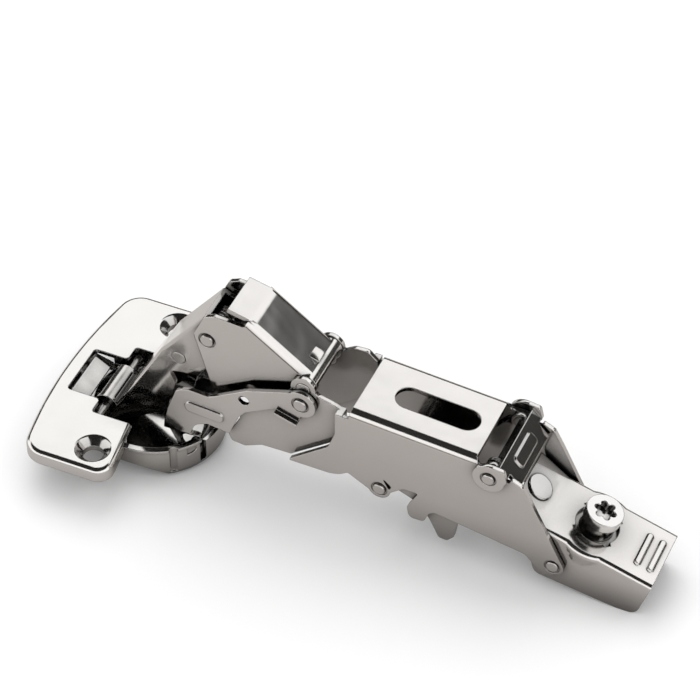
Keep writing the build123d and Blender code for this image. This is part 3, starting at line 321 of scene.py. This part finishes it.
def spring_tree():
    """Geometry Nodes: a coil along y whose first turn starts at the top and last ends at the front."""
    tree = bpy.data.node_groups.new("leg_spring", "GeometryNodeTree")
    for name, kind in (("Centre", "Vector"), ("Mean radius", "Float"), ("Rotations", "Float"),
                       ("Width", "Float"), ("Wire radius", "Float"), ("First start", "Vector"),
                       ("First end", "Vector"), ("Last start", "Vector"), ("Last end", "Vector"),
                       ("Steel", "Material")):
        tree.interface.new_socket(name, in_out="INPUT", socket_type="NodeSocket" + kind)
    tree.interface.new_socket("Geometry", in_out="OUTPUT", socket_type="NodeSocketGeometry")
    nodes = tree.nodes
    links = tree.links
    given = nodes.new("NodeGroupInput").outputs
    coil = nodes.new("GeometryNodeCurveSpiral")
    coil.inputs["Resolution"].default_value = TURN_STEPS
    coil.inputs["Reverse"].default_value = True
    links.new(given["Rotations"], coil.inputs["Rotations"])
    links.new(given["Mean radius"], coil.inputs["Start Radius"])
    links.new(given["Mean radius"], coil.inputs["End Radius"])
    links.new(given["Width"], coil.inputs["Height"])
    # the coil is wound round z, and then turned to lie along y
    placed = nodes.new("GeometryNodeTransform")
    placed.inputs["Rotation"].default_value = (radians(-90), radians(-90), 0)
    links.new(coil.outputs["Curve"], placed.inputs["Geometry"])
    links.new(given["Centre"], placed.inputs["Translation"])
    joined = nodes.new("GeometryNodeJoinGeometry")
    links.new(placed.outputs["Geometry"], joined.inputs["Geometry"])
    for leg in ("First", "Last"):
        line = nodes.new("GeometryNodeCurvePrimitiveLine")
        links.new(given[leg + " start"], line.inputs["Start"])
        links.new(given[leg + " end"], line.inputs["End"])
        links.new(line.outputs["Curve"], joined.inputs["Geometry"])
    ring = nodes.new("GeometryNodeCurvePrimitiveCircle")
    ring.inputs["Resolution"].default_value = WIRE_SIDES
    links.new(given["Wire radius"], ring.inputs["Radius"])
    wire = nodes.new("GeometryNodeCurveToMesh")
    links.new(joined.outputs["Geometry"], wire.inputs["Curve"])
    links.new(ring.outputs["Curve"], wire.inputs["Profile Curve"])
    wire.inputs["Fill Caps"].default_value = True
    real = nodes.new("GeometryNodeRealizeInstances")
    links.new(wire.outputs["Mesh"], real.inputs["Geometry"])
    steel = nodes.new("GeometryNodeSetMaterial")
    links.new(real.outputs["Geometry"], steel.inputs["Geometry"])
    links.new(given["Steel"], steel.inputs["Material"])
    links.new(steel.outputs["Geometry"], nodes.new("NodeGroupOutput").inputs["Geometry"])
    return tree


spring_nodes = spring_tree()
spring_steel = plated("spring_steel", WIRE_COLOUR, WIRE_ROUGHNESS, deep=COIL_SHADE_REACH)
for node, (x, z), (first, last), mean, wire, turns, first_end, last_end in SPRINGS:
    piece = bpy.data.objects.new(node + "_wire", bpy.data.meshes.new(node + "_wire"))
    bpy.context.scene.collection.objects.link(piece)
    winding = piece.modifiers.new("winding", "NODES")
    winding.node_group = spring_nodes
    sizes = {
        "Centre": (x, first, z),
        "Mean radius": mean,
        "Rotations": turns,
        "Width": last - first,
        "Wire radius": wire,
        "First start": (x, first, z + mean),
        "First end": (first_end[0], first, first_end[1]),
        "Last start": (x - mean, last, z),
        "Last end": (last_end[0], last, last_end[1]),
    }
    for socket in spring_nodes.interface.items_tree:
        if socket.name in sizes:
            size = sizes[socket.name]
            scale = 1.0 if socket.name == "Rotations" else MM
            if isinstance(size, tuple):
                winding[socket.identifier] = [part * scale for part in size]
            else:
                winding[socket.identifier] = size * scale
        elif socket.name == "Steel":
            winding[socket.identifier] = spring_steel
    bpy.context.view_layer.update()
    wound = bpy.data.meshes.new_from_object(piece.evaluated_get(bpy.context.evaluated_depsgraph_get()))
    piece.modifiers.clear()
    piece.data = wound
    wound.shade_smooth()
    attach(piece, frame["nodes"][node]["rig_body"])
    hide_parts(node)

# ---------------------------------------------------------------- room
# The hinge lies in a white studio under a large soft light.  Only the plating sees a dark flag overhead
# and the dark room behind the light, and these give the polished metal its dark lines.

SKY_WHITE = 1.28
# the flag's direction, half angle and soft edge in degrees
OVERHEAD_FLAG = ((-0.10, -0.14, 0.985), 46, 1.0)
FLAG_GREY = 0.02
# the dark room's soft front border in y and its upper border in z, for a direction of length 1
ROOM_BEHIND = (0.20, 0.34)
ROOM_BELOW = (0.56, 0.51)
ROOM_GREY = 0.04
DARK_TINT = (1.0, 0.96, 0.9)


def mask(tree, direction, centre, radius, blur):
    """1 inside a round patch of sky about a direction, 0 outside, with a soft edge."""
    dot = tree.nodes.new("ShaderNodeVectorMath")
    dot.operation = "DOT_PRODUCT"
    tree.links.new(direction, dot.inputs[0])
    dot.inputs[1].default_value = Vector(centre).normalized()
    ramp = tree.nodes.new("ShaderNodeMapRange")
    ramp.interpolation_type = "SMOOTHSTEP"
    ramp.inputs["From Min"].default_value = cos(radians(radius + blur))
    ramp.inputs["From Max"].default_value = cos(radians(radius - blur))
    tree.links.new(dot.outputs["Value"], ramp.inputs["Value"])
    return ramp.outputs["Result"]


world = bpy.data.worlds.new("studio")
world.use_nodes = True
bpy.context.scene.world = world
tree = world.node_tree
sky = tree.nodes["Background"]
toward = tree.nodes.new("ShaderNodeTexCoord").outputs["Generated"]
axes = tree.nodes.new("ShaderNodeSeparateXYZ")
tree.links.new(toward, axes.inputs[0])


def band(axis, start, end):
    """0 below start and 1 above end along one axis of the sky, or the other way round."""
    ramp = tree.nodes.new("ShaderNodeMapRange")
    ramp.interpolation_type = "SMOOTHSTEP"
    ramp.inputs["From Min"].default_value = start
    ramp.inputs["From Max"].default_value = end
    tree.links.new(axes.outputs[axis], ramp.inputs["Value"])
    return ramp.outputs["Result"]


room = tree.nodes.new("ShaderNodeMath")
room.operation = "MULTIPLY"
tree.links.new(band("Y", *ROOM_BEHIND), room.inputs[0])
tree.links.new(band("Z", *ROOM_BELOW), room.inputs[1])
tone = None
for grey, share in ((ROOM_GREY, room.outputs["Value"]), (FLAG_GREY, mask(tree, toward, *OVERHEAD_FLAG))):
    seen = tree.nodes.new("ShaderNodeMix")
    seen.data_type = "RGBA"
    if tone:
        tree.links.new(tone, seen.inputs["A"])
    else:
        seen.inputs["A"].default_value = (SKY_WHITE, SKY_WHITE, SKY_WHITE, 1)
    seen.inputs["B"].default_value = (*(grey * warmth for warmth in DARK_TINT), 1)
    tree.links.new(share, seen.inputs["Factor"])
    tone = seen.outputs["Result"]
paths = tree.nodes.new("ShaderNodeLightPath")
by_metal = tree.nodes.new("ShaderNodeMix")
by_metal.data_type = "RGBA"
by_metal.inputs["A"].default_value = (1.0, 1.0, 1.0, 1)
tree.links.new(paths.outputs["Is Glossy Ray"], by_metal.inputs["Factor"])
tree.links.new(tone, by_metal.inputs["B"])
tree.links.new(by_metal.outputs["Result"], sky.inputs["Color"])
sky.inputs["Strength"].default_value = 1.0

# ---------------------------------------------------------------- table
# Matt white paper lies on a table at the height of the cup's floor.  The plating sees a painted reflection
# in it: white in front, then a black strip, then warm grey painted shade under the hinge, and white beyond.

TABLE_Z = -13.0 * MM
TABLE_HALF = 3.0
PAPER_WHITE = 0.92
PAPER_ROUGHNESS = 0.9
# the painted reflection, from the front to the back: where each stretch ends in y, in metres, and its grey
STRETCHES = ((-0.19, PAPER_WHITE), (-0.10, 0.03), (0.25, 0.52))
MIRRORED_TINT = {"Red": 1.0, "Green": 0.955, "Blue": 0.92}

floor_mesh = bpy.data.meshes.new("table")
floor_corners = [(x * TABLE_HALF, y * TABLE_HALF, TABLE_Z) for x, y in ((-1, -1), (1, -1), (1, 1), (-1, 1))]
floor_mesh.from_pydata(floor_corners, [], [(0, 1, 2, 3)])
floor = bpy.data.objects.new("table", floor_mesh)
bpy.context.scene.collection.objects.link(floor)
paper = bpy.data.materials.new("table_paper")
paper.use_nodes = True
nodes = paper.node_tree.nodes
links = paper.node_tree.links
paper_shader = nodes["Principled BSDF"]
paper_shader.inputs["Roughness"].default_value = PAPER_ROUGHNESS
paper_shader.inputs["Specular IOR Level"].default_value = 0.0
apart = nodes.new("ShaderNodeSeparateXYZ")
links.new(nodes.new("ShaderNodeTexCoord").outputs["Object"], apart.inputs[0])
mirrored = nodes.new("ShaderNodeValue").outputs[0]
mirrored.default_value = PAPER_WHITE
for end, grey in reversed(STRETCHES):
    nearer = nodes.new("ShaderNodeMath")
    nearer.operation = "LESS_THAN"
    links.new(apart.outputs["Y"], nearer.inputs[0])
    nearer.inputs[1].default_value = end
    step = nodes.new("ShaderNodeMix")
    links.new(nearer.outputs["Value"], step.inputs["Factor"])
    links.new(mirrored, step.inputs["A"])
    step.inputs["B"].default_value = grey
    mirrored = step.outputs["Result"]
warm = nodes.new("ShaderNodeCombineColor")
for channel, share in MIRRORED_TINT.items():
    part = nodes.new("ShaderNodeMath")
    part.operation = "MULTIPLY"
    links.new(mirrored, part.inputs[0])
    part.inputs[1].default_value = share
    links.new(part.outputs["Value"], warm.inputs[channel])
# glossy rays see the painted reflection greys, all other rays see plain white paper
both = nodes.new("ShaderNodeMix")
both.data_type = "RGBA"
both.inputs["A"].default_value = (PAPER_WHITE, PAPER_WHITE, PAPER_WHITE, 1)
links.new(nodes.new("ShaderNodeLightPath").outputs["Is Glossy Ray"], both.inputs["Factor"])
links.new(warm.outputs["Color"], both.inputs["B"])
links.new(both.outputs["Result"], paper_shader.inputs["Base Color"])
floor_mesh.materials.append(paper)

# ---------------------------------------------------------------- white card
# A small round card of white board stands behind the hinge on the right and faces the carrier.  Only the
# plating sees it, as a bright patch on the carrier's front tongue.

# in mm
CARD_PLACE = (194, 98, 78)
CARD_AIM = (100, 0, 10)
CARD_RADIUS = 17
CARD_SIDES = 48

card_white = bpy.data.materials.new("card_white")
card_white.use_nodes = True
card_glow = card_white.node_tree.nodes.new("ShaderNodeEmission")
card_white.node_tree.links.new(card_glow.outputs["Emission"],
                               card_white.node_tree.nodes["Material Output"].inputs["Surface"])
middle = Vector(CARD_PLACE) * MM
facing = (Vector(CARD_AIM) * MM - middle).to_track_quat("Z", "Y").to_matrix()
form = bmesh.new()
bmesh.ops.create_circle(form, cap_ends=True, segments=CARD_SIDES, radius=CARD_RADIUS * MM,
                        matrix=Matrix.Translation(middle) @ facing.to_4x4())
card_mesh = bpy.data.meshes.new("card")
form.to_mesh(card_mesh)
form.free()
card_mesh.materials.append(card_white)
card = bpy.data.objects.new("card", card_mesh)
bpy.context.scene.collection.objects.link(card)
for ray in ("camera", "diffuse", "transmission", "volume_scatter", "shadow"):
    setattr(card, f"visible_{ray}", False)

# ---------------------------------------------------------------- lamp
# One large round lamp with a soft cloth hangs above the hinge, towards the back.  It draws the soft
# shadow on the table, and the plating doesn't see it.

# in metres and watts
LAMP_PLACE = (-0.25, 0.45, 0.9)
LAMP_AIM = (0.05, 0, 0)
LAMP_WIDTH = 0.9
LAMP_POWER = 3.0

lamp_data = bpy.data.lights.new("overhead", "AREA")
lamp_data.shape = "DISK"
lamp_data.size = LAMP_WIDTH
lamp_data.energy = LAMP_POWER
lamp = bpy.data.objects.new("overhead", lamp_data)
lamp.location = LAMP_PLACE
lamp.rotation_euler = (Vector(LAMP_AIM) - lamp.location).to_track_quat("-Z", "Y").to_euler()
lamp.visible_glossy = False
bpy.context.scene.collection.objects.link(lamp)

# ---------------------------------------------------------------- camera
# It stands at the hinge's front left, level, and looks down on it at about 44 degrees through a long
# lens, aimed so that the whole hinge is in view.

CAMERA_TURN = radians(23.9)
CAMERA_DOWN = radians(44.3)
CAMERA_FAR = 809.9 * MM
CAMERA_SIDE = 48.8 * MM
CAMERA_RISE = 10.8 * MM
CAMERA_LENS = 164.57
CAMERA_SENSOR = 36.0
CAMERA_NEAR = 10 * MM

across = Vector((cos(CAMERA_TURN), sin(CAMERA_TURN), 0))
level = Vector((-sin(CAMERA_TURN), cos(CAMERA_TURN), 0))
ahead = level * cos(CAMERA_DOWN) - Vector((0, 0, sin(CAMERA_DOWN)))
upward = level * sin(CAMERA_DOWN) + Vector((0, 0, cos(CAMERA_DOWN)))
camera_data = bpy.data.cameras.new("camera")
camera_data.sensor_width = CAMERA_SENSOR
camera_data.lens = CAMERA_LENS
camera_data.clip_start = CAMERA_NEAR
camera = bpy.data.objects.new("camera", camera_data)
bpy.context.scene.collection.objects.link(camera)
turned = Matrix((across, upward, -ahead)).transposed().to_4x4()
stand = across * CAMERA_SIDE + upward * CAMERA_RISE - ahead * CAMERA_FAR
camera.matrix_world = Matrix.Translation(stand) @ turned
bpy.context.scene.camera = camera
bpy.context.scene.view_settings.view_transform = "Standard"
